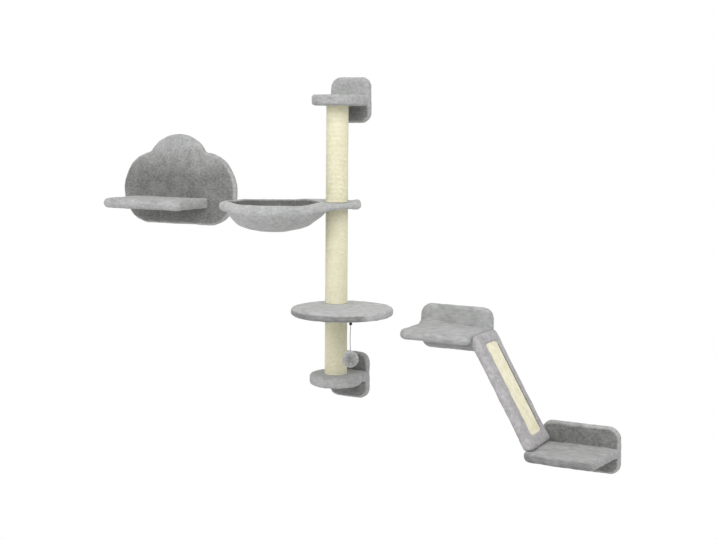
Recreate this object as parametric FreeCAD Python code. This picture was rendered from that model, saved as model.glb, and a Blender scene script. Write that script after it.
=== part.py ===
import FreeCAD, Part
import math
import os

# A wall mounted cat tree: a sisal post between two plush end discs that hang on small
# wall plates, a plush hammock and a round platform that swivel on the post, a toy that
# hangs from the platform, a perch on its own wall plate, and two wall steps joined by
# a ramp.  Millimetres.  +X right along the wall, +Y into the wall, +Z up.  The wall is
# the plane Y = 0 and the origin is the middle of the top wall plate's back face.

# Plush and boards that every padded piece shares
BOARD_T = 18.0
WALL_T = 25.0
EDGE_PAD = 5.0
WALL_ROUND = 9.0
SCREW_R = 2.5
SCREW_LENGTH = 50.0
SCREW_HEAD_R = 5.0
SCREW_HEAD_T = 4.0
SCREW_FIT = 0.05
WALL_HOLE_R = 3.0

# Post: three sisal covered cardboard tubes, one above the other
POST_FROM_WALL = 125.0
POST_R = 45.0
ROPE_D = 5.0
TUBE_WALL = 3.5
PLUG_T = 18.0
PLUG_FIT = 0.1
ROD_R = 4.0
ROD_THREAD_FIT = 0.05
SWIVEL_FIT = 0.1
SWIVEL_GAP = 0.3
LOWER_POST = 252.4
MIDDLE_POST = 370.9
UPPER_POST = 379.7

# End discs and their small wall plates
PLATE_W = 178.0
PLATE_H = 185.0
PLATE_CORNER = 42.0
PLATE_HOLES_X = 120.0
PLATE_HOLES_Z = 130.0
END_R = 101.0
END_NECK_W = 170.0
END_NECK_ROUND = 30.0
END_T = 40.0
TOP_DISC_SET_DOWN = 2.5
END_BOARD_T = 30.0
END_ROUND = 12.0
END_SCREW_SPACING = 90.0
BOLT_HEAD_R = 6.5
BOLT_HEAD_T = 3.0
BOLT_GRIP = 16.0
WASHER_R = 12.0
WASHER_T = 1.5
WASHER_FIT = 1.0

# Round platform
PLATFORM_R = 198.0
PLATFORM_T = 29.0
PLATFORM_ROUND = 12.0
PLATFORM_REACH = 132.0
PLATFORM_TURN = -51.0

# Hammock: a keyhole shaped board in a plush sleeve, and the bag below it
HAMMOCK_R = 215.0
HAMMOCK_OPENING_R = 178.0
HAMMOCK_PAD_R = 97.0
HAMMOCK_REACH = 256.0
HAMMOCK_TURN = -136.2
HAMMOCK_T = 35.0
HAMMOCK_ROUND = 16.0
BAG_CLOTH = 5.0
BAG_SIDE_R = 191.0
BAG_SIDE_DROP = 29.0
BAG_SHOULDER_R = 161.0
BAG_SHOULDER_DROP = 49.5
BAG_DEPTH = 87.0

# Toy on its cord under the platform
TOY_FROM_RIM = 22.0
TOY_TURN = -50.75
BEAD_R = 6.0
CORD_R = 1.25
CORD_LENGTH = 99.0
CORD_BOW = 3.5
CORD_BOW_AT = 0.52
CORD_SINK = 4.0
CORD_FIT = 0.4
BALL_R = 31.0

# Perch
PERCH_X = -849.0
PERCH_TOP_R = 174.0
PERCH_TOP_SHIFT = -6.0
PERCH_TOP_Z = -322.0
PERCH_SIDE_R = 166.0
PERCH_SIDE_X = 131.0
PERCH_SIDE_Z = -392.0
PERCH_FOOT_R = 140.0
PERCH_FOOT_ANGLE = -19.0
PERCH_NOTCH_ROUND = 15.0
PERCH_HOLES_X = 240.0
PERCH_HOLES_Z = 185.0
PERCH_HOLES_MID = -412.5
PERCH_SHELF_X = -890.0
PERCH_SHELF_W = 400.0
PERCH_SHELF_FRONT = 250.0
PERCH_SHELF_TOP = -424.0
PERCH_SHELF_T = 41.0
PERCH_SHELF_CORNER = 30.0
PERCH_ROUND = 18.0
PERCH_SCREW_SPACING = 110.0

# Wall steps
STEP_W = 300.0
STEP_H = 172.0
STEP_CORNER = 42.0
STEP_HOLES_X = 230.0
STEP_HOLES_Z = 130.0
STEP_SHELF_DROP = 74.0
STEP_SHELF_T = 35.0
STEP_SHELF_FRONT = 250.0
STEP_LEFT_CORNER = 48.0
STEP_RIGHT_CORNER = 25.0
STEP_ROUND = 13.0
STEP_SCREW_SPACING = 100.0
UPPER_STEP_X = 474.0
UPPER_STEP_TOP = -798.5
UPPER_STEP_TAPER = 0.0
LOWER_STEP_X = 976.0
LOWER_STEP_TOP = -1199.0
LOWER_STEP_TAPER = 26.0

# Ramp between the steps
RAMP_W = 196.0
RAMP_FROM_WALL = 125.0
RAMP_T = 38.0
RAMP_HEAD_DROP = 8.0
RAMP_FOOT_SET = 3.0
RAMP_END_PAD = 10.0
RAMP_HEAD_ROUND = 10.0
RAMP_CORNER = 12.0
RAMP_ROUND = 9.0
MAT_W = 106.0
MAT_T = 6.0
MAT_HEAD_DROP = 38.0
MAT_FOOT_RISE = 41.5
RAMP_SCREW_SPACING = 80.0
RAMP_FOOT_SCREW = 70.0
RAMP_SCREW_SINK = 3.0

# Heights that follow from the stack of discs, posts and boards
TOP_DISC_LOW = -TOP_DISC_SET_DOWN - END_T / 2
HAMMOCK_TOP = TOP_DISC_LOW - UPPER_POST - SWIVEL_GAP
HAMMOCK_LOW = HAMMOCK_TOP - HAMMOCK_T
PLATFORM_TOP = HAMMOCK_LOW - MIDDLE_POST - 2 * SWIVEL_GAP
PLATFORM_LOW = PLATFORM_TOP - PLATFORM_T
BOTTOM_DISC_TOP = PLATFORM_LOW - LOWER_POST - SWIVEL_GAP
BOTTOM_PLATE_Z = BOTTOM_DISC_TOP - END_T / 2
TUBE_R = POST_R - ROPE_D
POST_Y = -POST_FROM_WALL

V = FreeCAD.Vector
UP = V(0, 0, 1)
TOWARD_WALL = V(0, 1, 0)


# ---- outlines, prisms and rounded edges

def polar(centre, radius, degrees):
    angle = math.radians(degrees)
    return (centre[0] + radius * math.cos(angle), centre[1] + radius * math.sin(angle))


def line(place, start, end):
    return Part.LineSegment(place(*start), place(*end)).toShape()


def arc(place, centre, radius, start, end):
    points = [polar(centre, radius, a) for a in (start, (start + end) / 2, end)]
    return Part.Arc(*[place(*p) for p in points]).toShape()


def in_plan(z):
    return lambda x, y: V(x, y, z)


def on_wall(y):
    return lambda x, z: V(x, y, z)


def closed_face(edges):
    return Part.Face(Part.Wire(edges))


def disc(radius, centre, low, height):
    return Part.makeCylinder(radius, height, V(centre[0], centre[1], low), UP)


def rod_y(radius, x, z, start, length):
    return Part.makeCylinder(radius, length, V(x, start, z), TOWARD_WALL)


def join(shapes):
    return shapes[0].fuse(shapes[1:]).removeSplitter()


def rounded_box_face(place, low, high, corner):
    (left, bottom), (right, top) = low, high
    r = corner
    edges = [
        line(place, (left + r, bottom), (right - r, bottom)),
        arc(place, (right - r, bottom + r), r, -90, 0),
        line(place, (right, bottom + r), (right, top - r)),
        arc(place, (right - r, top - r), r, 0, 90),
        line(place, (right - r, top), (left + r, top)),
        arc(place, (left + r, top - r), r, 90, 180),
        line(place, (left, top - r), (left, bottom + r)),
        arc(place, (left + r, bottom + r), r, 180, 270),
    ]
    return closed_face(edges)


def flat_edges(shape, axis, value):
    """Edges that lie wholly at one height, or one depth, of a prism."""
    found = []
    for edge in shape.Edges:
        box = edge.BoundBox
        low = getattr(box, axis + "Min")
        high = getattr(box, axis + "Max")
        if abs(low - value) < 0.01 and abs(high - value) < 0.01:
            found.append(edge)
    return found


def soften_front(shape, radius, front):
    return shape.makeFillet(radius, flat_edges(shape, "Y", front))


def soften_rim(shape, radius, low, high, back=None):
    """Round a board's top and bottom rim, but not the edge that meets the wall plate."""
    rim = flat_edges(shape, "Z", low) + flat_edges(shape, "Z", high)
    if back is not None:
        rim = [e for e in rim if e.BoundBox.YMin < back - 0.01]
    return shape.makeFillet(radius, rim)


def save(name, shape):
    shape.exportStep("parts/" + name + ".step")
    print(name, len(shape.Solids), "solid", "valid" if shape.isValid() else "NOT VALID")


def solids(shapes):
    return Part.makeCompound(shapes)


# ---- wall plates: a board in a plush cover that is open at the back

def wall_plate(name, outline, holes, joint_screws, shelf_board):
    """outline(place, inset) gives the plate's face, set in by that much."""
    board = outline(on_wall(0), EDGE_PAD).extrude(V(0, -BOARD_T, 0))
    cover = outline(on_wall(0), 0).extrude(V(0, -WALL_T, 0))
    cover = soften_front(cover, WALL_ROUND, -WALL_T).cut([board, shelf_board])
    wall_holes = [rod_y(WALL_HOLE_R, x, z, -WALL_T, WALL_T) for x, z in holes]
    screw_holes = []
    for x, z in joint_screws:
        screw_holes.append(rod_y(SCREW_R + SCREW_FIT, x, z, -BOARD_T, BOARD_T))
        screw_holes.append(rod_y(SCREW_HEAD_R + SCREW_FIT, x, z, -SCREW_HEAD_T, SCREW_HEAD_T))
    save(name + "_wall_board", board.cut(wall_holes + screw_holes))
    save(name + "_wall_cover", cover.cut(wall_holes))


def screw(start, along, length, fit=0.0):
    head = Part.makeCylinder(SCREW_HEAD_R + fit, SCREW_HEAD_T, start, along)
    return join([head, Part.makeCylinder(SCREW_R + fit, length + fit, start, along)])


def wall_screws(places):
    """Screws from the back of a wall board into the edge of its shelf."""
    return solids([screw(V(x, 0, z), V(0, -1, 0), SCREW_LENGTH) for x, z in places])


def wall_screw_pockets(places):
    return [screw(V(x, 0, z), V(0, -1, 0), SCREW_LENGTH, SCREW_FIT) for x, z in places]


def corner_holes(mid, across, up):
    return [(mid[0] + i * across / 2, mid[1] + k * up / 2) for i in (-1, 1) for k in (-1, 1)]


# ---- post: end discs, tubes, sisal, plugs, rods and bolts

def disc_shape(inset, low, height, back):
    radius = END_R - inset
    half = END_NECK_W / 2 - inset
    neck = Part.makeBox(2 * half, back - POST_Y, height, V(-half, POST_Y, low))
    past_back = Part.makeBox(2 * radius, radius, height, V(-radius, back, low))
    shape = join([disc(radius, (0, POST_Y), low, height), neck]).cut(past_back)
    meet_y = POST_Y + math.sqrt(radius ** 2 - half ** 2)
    corners = [e for e in shape.Edges if e.BoundBox.ZLength > height / 2
               and abs(e.BoundBox.YMin - meet_y) < 0.01 and abs(e.BoundBox.YMax - meet_y) < 0.01]
    return shape.makeFillet(END_NECK_ROUND + inset, corners)


def end_bolt(seat, inward):
    """Washer and low head bolt; inward is +1 where the bolt points up into the post."""
    base = V(0, POST_Y, seat)
    out = V(0, 0, -inward)
    thick = END_BOARD_T + (END_T - END_BOARD_T) / 2
    washer = Part.makeCylinder(WASHER_R, WASHER_T, base, out)
    head = Part.makeCylinder(BOLT_HEAD_R, BOLT_HEAD_T, base + out * WASHER_T, out)
    shank = Part.makeCylinder(ROD_R, WASHER_T + thick + BOLT_GRIP, base + out * WASHER_T, out * -1)
    washer = washer.cut(Part.makeCylinder(ROD_R, WASHER_T, base, out))
    return [washer, join([head, shank])]


def end_disc(name, plate_z, mid_z, inward):
    """A disc whose middle is at mid_z, on a wall plate whose middle is at plate_z."""
    board_low, cover_low = mid_z - END_BOARD_T / 2, mid_z - END_T / 2
    screws = [(i * END_SCREW_SPACING / 2, mid_z) for i in (-1, 1)]

    def outline(place, inset):
        w, h = PLATE_W / 2 - inset, PLATE_H / 2 - inset
        return rounded_box_face(place, (-w, plate_z - h), (w, plate_z + h), PLATE_CORNER - inset)

    board = disc_shape(EDGE_PAD, board_low, END_BOARD_T, -BOARD_T)
    holes = corner_holes((0, plate_z), PLATE_HOLES_X, PLATE_HOLES_Z)
    wall_plate(name, outline, holes, screws, board)

    cover = disc_shape(0, cover_low, END_T, -WALL_T)
    cover = soften_rim(cover, END_ROUND, cover_low, cover_low + END_T, -WALL_T).cut(board)
    bore = disc(ROD_R + ROD_THREAD_FIT, (0, POST_Y), cover_low, END_T)
    recess_low = cover_low if inward > 0 else board_low + END_BOARD_T
    recess = disc(WASHER_R + WASHER_FIT, (0, POST_Y), recess_low, board_low - cover_low)
    save(name + "_end_board", board.cut([bore] + wall_screw_pockets(screws)))
    save(name + "_end_cover", cover.cut([bore, recess]))
    save(name + "_end_screws", wall_screws(screws))
    save(name + "_post_bolt", solids(end_bolt(mid_z - inward * END_BOARD_T / 2, inward)))


def post_section(name, low, length):
    middle = (0, POST_Y)
    sleeve = disc(POST_R, middle, low, length).cut(disc(TUBE_R, middle, low, length))
    tube_bore = TUBE_R - TUBE_WALL
    tube = disc(TUBE_R, middle, low, length).cut(disc(tube_bore, middle, low, length))
    plugs = []
    for start in (low, low + length - PLUG_T):
        plug = disc(tube_bore - PLUG_FIT, middle, start, PLUG_T)
        plugs.append(plug.cut(disc(ROD_R + ROD_THREAD_FIT, middle, start, PLUG_T)))
    save(name + "_sisal_wrap", sleeve)
    save(name + "_post_tube", tube)
    save(name + "_post_plugs", solids(plugs))


def make_post():
    end_disc("top", 0.0, -TOP_DISC_SET_DOWN, -1)
    end_disc("bottom", BOTTOM_PLATE_Z, BOTTOM_PLATE_Z, 1)
    post_section("lower", BOTTOM_DISC_TOP, LOWER_POST)
    post_section("middle", PLATFORM_TOP + SWIVEL_GAP, MIDDLE_POST)
    post_section("upper", HAMMOCK_TOP + SWIVEL_GAP, UPPER_POST)
    for name, low, thickness in (("platform", PLATFORM_LOW, PLATFORM_T),
                                 ("hammock", HAMMOCK_LOW, HAMMOCK_T)):
        start = low - SWIVEL_GAP - PLUG_T
        length = thickness + 2 * (SWIVEL_GAP + PLUG_T)
        save(name + "_joining_rod", disc(ROD_R, (0, POST_Y), start, length))


# ---- platform and toy

def platform_centre():
    return polar((0, POST_Y), PLATFORM_REACH, PLATFORM_TURN)


def make_platform():
    centre = platform_centre()
    bore = disc(ROD_R + SWIVEL_FIT, (0, POST_Y), PLATFORM_LOW, PLATFORM_T)
    board_low = PLATFORM_LOW + (PLATFORM_T - BOARD_T) / 2
    board = disc(PLATFORM_R - EDGE_PAD, centre, board_low, BOARD_T)
    cover = disc(PLATFORM_R, centre, PLATFORM_LOW, PLATFORM_T)
    cover = soften_rim(cover, PLATFORM_ROUND, PLATFORM_LOW, PLATFORM_TOP).cut(board)
    save("platform_board", board.cut(bore))
    save("platform_cover", cover.cut(bore))


def cord_tube(first, bend, last):
    """Two straight runs and the one arc that is tangent to both."""
    into = (bend - first).normalize()
    out = (last - bend).normalize()
    turn = into.getAngle(out)
    cut_back = 0.45 * min(first.distanceToPoint(bend), last.distanceToPoint(bend))
    radius = cut_back / math.tan(turn / 2)
    inside = (out - into).normalize()
    centre = bend + inside * (radius / math.cos(turn / 2))
    start = bend - into * cut_back
    end = bend + out * cut_back
    wire = Part.Wire([Part.LineSegment(first, start).toShape(),
                      Part.Arc(start, centre - inside * radius, end).toShape(),
                      Part.LineSegment(end, last).toShape()])
    tube = wire.makePipeShell([Part.Wire([Part.makeCircle(CORD_R, first, into)])], True, False)
    share = tube.Volume / (math.pi * CORD_R ** 2 * wire.Length)
    print("cord: bend radius", round(radius), "length", round(wire.Length, 1), "volume share",
          round(share, 3))
    return tube


def make_toy():
    x, y = polar(platform_centre(), PLATFORM_R - TOY_FROM_RIM, TOY_TURN)
    bead_z = PLATFORM_LOW - SWIVEL_GAP - BEAD_R
    cord_top = bead_z - BEAD_R - SWIVEL_GAP
    cord_low = cord_top - CORD_LENGTH
    bend = V(x - CORD_BOW, y, cord_top - CORD_BOW_AT * CORD_LENGTH)
    pocket = disc(CORD_R + CORD_FIT, (x, y), cord_low, CORD_SINK + BALL_R)
    save("toy_bead", Part.makeSphere(BEAD_R, V(x, y, bead_z)))
    save("toy_cord", cord_tube(V(x, y, cord_top), bend, V(x, y, cord_low)))
    save("toy_ball", Part.makeSphere(BALL_R, V(x, y, cord_low + CORD_SINK - BALL_R)).cut(pocket))


# ---- hammock

def hammock_centre():
    return polar((0, POST_Y), HAMMOCK_REACH, HAMMOCK_TURN)


def keyhole(inset, low, height):
    """The frame's outline: a big round, a small pad on the post and their tangents."""
    big, small = HAMMOCK_R - inset, HAMMOCK_PAD_R - inset
    lean = math.degrees(math.acos((big - small) / HAMMOCK_REACH))
    toward_post = HAMMOCK_TURN + 180
    centre, post = hammock_centre(), (0, POST_Y)
    place = in_plan(low)
    first, second = toward_post + lean, toward_post - lean
    edges = [
        arc(place, centre, big, first, first + 360 - 2 * lean),
        line(place, polar(centre, big, second), polar(post, small, second)),
        arc(place, post, small, second, first),
        line(place, polar(post, small, first), polar(centre, big, first)),
    ]
    return closed_face(edges).extrude(V(0, 0, height))


def bag_profile(cloth):
    """Lip, side, shoulder, floor and lowest point of the bag, set in by the cloth."""
    lip_r = HAMMOCK_OPENING_R + HAMMOCK_ROUND + BAG_CLOTH
    lean = cloth * math.sqrt(0.5)
    shoulder = (BAG_SHOULDER_R - lean, BAG_SHOULDER_DROP - lean)
    depth = BAG_DEPTH - cloth
    rise = depth - shoulder[1]
    ball_r = (shoulder[0] ** 2 + rise ** 2) / (2 * rise)
    half_turn = math.asin(shoulder[0] / ball_r) / 2
    floor = (ball_r * math.sin(half_turn), depth - ball_r * (1 - math.cos(half_turn)))
    return [(lip_r - cloth, 0), (BAG_SIDE_R - cloth, BAG_SIDE_DROP), shoulder, floor, (0, depth)]


def bag_body(cloth):
    """The bag's outside, or its inside if the cloth is set in, as one turned solid."""
    x, y = hammock_centre()
    profile = bag_profile(cloth)

    def place(r, drop):
        return V(x + r, y, HAMMOCK_LOW - drop)

    edges = [Part.Arc(*[place(*p) for p in profile[:3]]).toShape(),
             Part.Arc(*[place(*p) for p in profile[2:]]).toShape(),
             line(place, profile[4], (0, 0)), line(place, (0, 0), profile[0])]
    return closed_face(edges).revolve(V(x, y, 0), UP, 360)


def make_hammock():
    centre = hammock_centre()
    bore = disc(ROD_R + SWIVEL_FIT, (0, POST_Y), HAMMOCK_LOW, HAMMOCK_T)
    board_low = HAMMOCK_LOW + (HAMMOCK_T - BOARD_T) / 2
    board = keyhole(EDGE_PAD, board_low, BOARD_T)
    board = board.cut(disc(HAMMOCK_OPENING_R + EDGE_PAD, centre, board_low, BOARD_T))
    cover = keyhole(0, HAMMOCK_LOW, HAMMOCK_T)
    cover = cover.cut(disc(HAMMOCK_OPENING_R, centre, HAMMOCK_LOW, HAMMOCK_T))
    cover = soften_rim(cover, HAMMOCK_ROUND, HAMMOCK_LOW, HAMMOCK_TOP).cut(board)
    save("hammock_board", board.cut(bore))
    save("hammock_frame_cover", cover.cut(bore))
    save("hammock_bag", bag_body(0).cut(bag_body(BAG_CLOTH)))


# ---- perch

def direction(start, end):
    return math.degrees(math.atan2(end[1] - start[1], end[0] - start[0]))


def perch_outline(place, inset):
    """A round top lobe on a wide lower lobe, with a small hollow where they meet."""
    side = (PERCH_SIDE_X, PERCH_SIDE_Z)
    foot = polar(side, PERCH_SIDE_R - PERCH_FOOT_R, PERCH_FOOT_ANGLE)
    foot_r = PERCH_FOOT_R - inset
    to_top, to_side = PERCH_TOP_R + PERCH_NOTCH_ROUND, PERCH_SIDE_R + PERCH_NOTCH_ROUND
    edges = []
    for sign in (1, -1):
        def half(x, z):
            return place(PERCH_X + sign * x, z)
        top = (sign * PERCH_TOP_SHIFT, PERCH_TOP_Z)
        gap = math.dist(top, side)
        spread = math.acos((to_side ** 2 + gap ** 2 - to_top ** 2) / (2 * to_side * gap))
        notch = polar(side, to_side, direction(side, top) - math.degrees(spread))
        side_end, top_start = direction(side, notch), direction(top, notch)
        edges += [
            line(half, (0, foot[1] - foot_r), (foot[0], foot[1] - foot_r)),
            arc(half, foot, foot_r, -90, PERCH_FOOT_ANGLE),
            arc(half, side, PERCH_SIDE_R - inset, PERCH_FOOT_ANGLE, side_end),
            arc(half, notch, PERCH_NOTCH_ROUND + inset, side_end - 180, top_start - 180),
            arc(half, top, PERCH_TOP_R - inset, top_start, 90),
        ]
    return closed_face(Part.__sortEdges__(edges))


def shelf_shape(x, width, front, back, inset, low, height, corners, taper):
    """A shelf in plan with rounded front corners; taper draws in its right end."""
    lean = math.atan2(taper, front - WALL_T)

    def right_at(y):
        return x + width / 2 - inset / math.cos(lean) + (y + WALL_T) * math.tan(lean)

    left, nose = x - width / 2 + inset, inset - front
    left_r, right_r = corners[0] - inset, corners[1] - inset
    left_mid = (left + left_r, nose + left_r)
    right_mid = (right_at(nose + right_r) - right_r / math.cos(lean), nose + right_r)
    right_end = polar(right_mid, right_r, -math.degrees(lean))
    place = in_plan(low)
    edges = [
        line(place, (left, back), (left, left_mid[1])),
        arc(place, left_mid, left_r, 180, 270),
        line(place, (left_mid[0], nose), (right_mid[0], nose)),
        arc(place, right_mid, right_r, -90, -math.degrees(lean)),
        line(place, right_end, (right_at(back), back)),
        line(place, (right_at(back), back), (left, back)),
    ]
    return closed_face(edges).extrude(V(0, 0, height))


def shelf_on_plate(name, outline, holes, screws, plan, top, thickness, edge_round, bores=()):
    """plan(back, inset, low, height) gives the shelf's board or its cover."""
    low = top - thickness
    board_low = low + (thickness - BOARD_T) / 2
    board = plan(-BOARD_T, EDGE_PAD, board_low, BOARD_T)
    wall_plate(name, outline, holes, screws, board)
    cover = soften_rim(plan(-WALL_T, 0, low, thickness), edge_round, low, top, -WALL_T)
    save(name + "_shelf_board", board.cut(wall_screw_pockets(screws) + list(bores)))
    save(name + "_shelf_cover", cover.cut([board] + list(bores)))
    save(name + "_screws", wall_screws(screws))


def make_perch():
    mid_z = PERCH_SHELF_TOP - PERCH_SHELF_T / 2
    screws = [(PERCH_SHELF_X + i * PERCH_SCREW_SPACING, mid_z) for i in (-1.5, -0.5, 0.5, 1.5)]
    holes = corner_holes((PERCH_X, PERCH_HOLES_MID), PERCH_HOLES_X, PERCH_HOLES_Z)
    corners = (PERCH_SHELF_CORNER, PERCH_SHELF_CORNER)

    def plan(back, inset, low, height):
        return shelf_shape(PERCH_SHELF_X, PERCH_SHELF_W, PERCH_SHELF_FRONT, back, inset, low,
                           height, corners, 0.0)

    shelf_on_plate("perch", perch_outline, holes, screws, plan, PERCH_SHELF_TOP, PERCH_SHELF_T,
                   PERCH_ROUND)


# ---- steps and ramp

def make_step(name, x, top, taper, bores):
    shelf_top = top - STEP_SHELF_DROP
    screws = [(x + i * STEP_SCREW_SPACING, shelf_top - STEP_SHELF_T / 2) for i in (-1, 0, 1)]
    holes = corner_holes((x, top - STEP_H / 2), STEP_HOLES_X, STEP_HOLES_Z)
    corners = (STEP_LEFT_CORNER, STEP_RIGHT_CORNER)

    def outline(place, inset):
        low = (x - STEP_W / 2 + inset, top - STEP_H + inset)
        high = (x + STEP_W / 2 - inset, top - inset)
        return rounded_box_face(place, low, high, STEP_CORNER - inset)

    def plan(back, inset, low, height):
        return shelf_shape(x, STEP_W, STEP_SHELF_FRONT, back, inset, low, height, corners, taper)

    shelf_on_plate(name, outline, holes, screws, plan, shelf_top, STEP_SHELF_T, STEP_ROUND, bores)


def ramp_line():
    """Where the ramp's underside starts and ends, its slope (down) and its normal (up)."""
    shelf_low = UPPER_STEP_TOP - STEP_SHELF_DROP - STEP_SHELF_T
    head = V(UPPER_STEP_X + STEP_W / 2, 0, shelf_low - RAMP_HEAD_DROP)
    foot = V(LOWER_STEP_X - STEP_W / 2 + RAMP_FOOT_SET, 0, LOWER_STEP_TOP - STEP_SHELF_DROP)
    down = (foot - head).normalize()
    return head, foot, down, V(-down.z, 0, down.x)


def at_height(point, slope, z):
    return point + slope * ((z - point.z) / slope.z)


def at_side(point, slope, x):
    return point + slope * ((x - point.x) / slope.x)


def ramp_profile(end_pad, near, far):
    """Corners of the ramp seen from the front: two at its foot, its peak, its head's low."""
    head, foot, down, normal = ramp_line()
    under, over = head + normal * near, head + normal * far
    ground, side = foot.z + end_pad, head.x + end_pad
    return [at_height(under, down, ground), at_height(over, down, ground),
            at_side(over, down, side), at_side(under, down, side)]


def polygon_face(points):
    return Part.Face(Part.makePolygon(points + points[:1]))


def rounded_profile(points, radii):
    """A closed polygon in the wall's plane with an arc at each corner."""
    count = len(points)
    arcs = []
    for i, point in enumerate(points):
        back = (points[i - 1] - point).normalize()
        ahead = (points[(i + 1) % count] - point).normalize()
        half = back.getAngle(ahead) / 2
        reach = radii[i] / math.tan(half)
        middle = (back + ahead).normalize() * (radii[i] / math.sin(half) - radii[i])
        arcs.append((point + back * reach, point + middle, point + ahead * reach))
    edges = []
    for i in range(count):
        edges.append(Part.Arc(*arcs[i]).toShape())
        edges.append(Part.LineSegment(arcs[i][2], arcs[(i + 1) % count][0]).toShape())
    return closed_face(edges)


def across_ramp(face, width):
    face.translate(V(0, -RAMP_FROM_WALL - width / 2, 0))
    return face.extrude(V(0, width, 0))


def ramp_screws(fit):
    """Screws from the ramp's head into the upper shelf, and up from the lower shelf."""
    head, foot, down, normal = ramp_line()
    board_far = (RAMP_T + BOARD_T) / 2
    shelf_mid = UPPER_STEP_TOP - STEP_SHELF_DROP - STEP_SHELF_T / 2
    shelf_under = foot.z - (STEP_SHELF_T + BOARD_T) / 2
    into_upper = at_height(head + normal * board_far, down, shelf_mid)
    from_lower = at_height(head + normal * (RAMP_T / 2), down, shelf_under)
    upper, lower = [], []
    for side in (-1, 1):
        y = V(0, -RAMP_FROM_WALL + side * RAMP_SCREW_SPACING / 2, 0)
        start = into_upper + y - V(RAMP_SCREW_SINK, 0, 0)
        upper.append(screw(start, V(-1, 0, 0), SCREW_LENGTH, fit))
        start = from_lower + y - down * RAMP_SCREW_SINK
        lower.append(screw(start, down * -1, RAMP_FOOT_SCREW, fit))
    return upper, lower


def ramp_mat():
    head, foot, down, normal = ramp_line()
    on_board = head + normal * ((RAMP_T + BOARD_T) / 2)
    top_z = UPPER_STEP_TOP - STEP_SHELF_DROP - MAT_HEAD_DROP
    low = on_board + down * ((foot.z + MAT_FOOT_RISE - on_board.z) / down.z)
    high = on_board + down * ((top_z - on_board.z) / down.z)
    face = polygon_face([low, high, high + normal * MAT_T, low + normal * MAT_T])
    return across_ramp(face, MAT_W)


def make_ramp(head_bores, foot_bores):
    pad = (RAMP_T - BOARD_T) / 2
    board = polygon_face(ramp_profile(RAMP_END_PAD, pad, pad + BOARD_T))
    board = across_ramp(board, RAMP_W - 2 * EDGE_PAD)
    radii = (RAMP_CORNER, RAMP_CORNER, RAMP_HEAD_ROUND, RAMP_CORNER)
    cover = across_ramp(rounded_profile(ramp_profile(0, 0, RAMP_T), radii), RAMP_W)
    cover = cover.makeFillet(RAMP_ROUND, [e for e in cover.Edges if e.BoundBox.YLength < 0.01])
    mat = ramp_mat()
    window = ramp_mat().fuse(mat.translated(ramp_line()[3] * (RAMP_T - BOARD_T)))
    bores = head_bores + foot_bores
    save("ramp_board", board.cut(bores))
    save("ramp_cover", cover.cut([board, window] + bores))
    save("ramp_sisal_mat", mat)
    upper, lower = ramp_screws(0)
    save("ramp_head_screws", solids(upper))
    save("ramp_foot_screws", solids(lower))


def main():
    os.makedirs("parts", exist_ok=True)
    make_post()
    make_platform()
    make_toy()
    make_hammock()
    make_perch()
    head_bores, foot_bores = ramp_screws(SCREW_FIT)
    make_step("upper_step", UPPER_STEP_X, UPPER_STEP_TOP, UPPER_STEP_TAPER, head_bores)
    make_step("lower_step", LOWER_STEP_X, LOWER_STEP_TOP, LOWER_STEP_TAPER, foot_bores)
    make_ramp(head_bores, foot_bores)


main()
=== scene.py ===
import math

import bpy
import numpy as np
from mathutils import Matrix, Vector, noise
from mathutils.geometry import delaunay_2d_cdt


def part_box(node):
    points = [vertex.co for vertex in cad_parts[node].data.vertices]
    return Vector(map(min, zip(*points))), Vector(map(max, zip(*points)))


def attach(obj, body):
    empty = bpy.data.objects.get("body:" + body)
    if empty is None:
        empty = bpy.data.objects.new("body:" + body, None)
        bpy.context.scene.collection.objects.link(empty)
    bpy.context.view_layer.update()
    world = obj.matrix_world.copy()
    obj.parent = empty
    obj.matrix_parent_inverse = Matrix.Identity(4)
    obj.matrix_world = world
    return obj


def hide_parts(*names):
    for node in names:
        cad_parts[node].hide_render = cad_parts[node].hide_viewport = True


# A wall mounted cat tree: a sisal post between plush discs on the wall, with a hammock and
# a round platform that turn on it, a perch, and two steps with a ramp.  All sizes below are
# in millimetres, as the pieces are cut, and turn to metres where a mesh is made.
# +X runs right along the wall, +Y into it, +Z up; the wall is the plane Y = 0.
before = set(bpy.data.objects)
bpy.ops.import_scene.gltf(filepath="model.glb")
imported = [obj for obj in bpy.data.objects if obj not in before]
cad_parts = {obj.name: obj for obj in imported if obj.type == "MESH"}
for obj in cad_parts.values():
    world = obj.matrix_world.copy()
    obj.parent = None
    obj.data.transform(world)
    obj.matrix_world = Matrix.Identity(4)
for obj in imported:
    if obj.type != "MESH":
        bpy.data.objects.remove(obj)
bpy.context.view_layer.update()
MM = 0.001


# ---- Camera
# The picture was taken level, from 28 degrees to the right of square on to the wall and
# about five metres off, and cropped so that the horizon lies high in the frame.
FRAME_W, FOCAL_PX, AXIS_COLUMN, HORIZON_ROW, MIDDLE_COLUMN, MIDDLE_ROW = (
    716, 1280, 358.5, 117.5, 358, 270)
CAMERA_PLACE = (2.4673, -4.5862, -0.071)
view_turn, camera_roll = math.radians(28), math.radians(0.36)
looking = Vector((-math.sin(view_turn), math.cos(view_turn), 0))
level = Vector((math.cos(view_turn), math.sin(view_turn), 0))
upright = Vector((0, 0, 1))
right = level * math.cos(camera_roll) + upright * math.sin(camera_roll)
top = upright * math.cos(camera_roll) - level * math.sin(camera_roll)
camera = bpy.data.objects.new("camera", bpy.data.cameras.new("camera"))
bpy.context.scene.collection.objects.link(camera)
bpy.context.scene.camera = camera
camera.matrix_world = Matrix.Translation(CAMERA_PLACE) @ Matrix(
    (right, top, -looking)).transposed().to_4x4()
camera.data.sensor_width = 36
camera.data.lens = FOCAL_PX / FRAME_W * camera.data.sensor_width
camera.data.shift_x = (MIDDLE_COLUMN - AXIS_COLUMN) / FRAME_W
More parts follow.
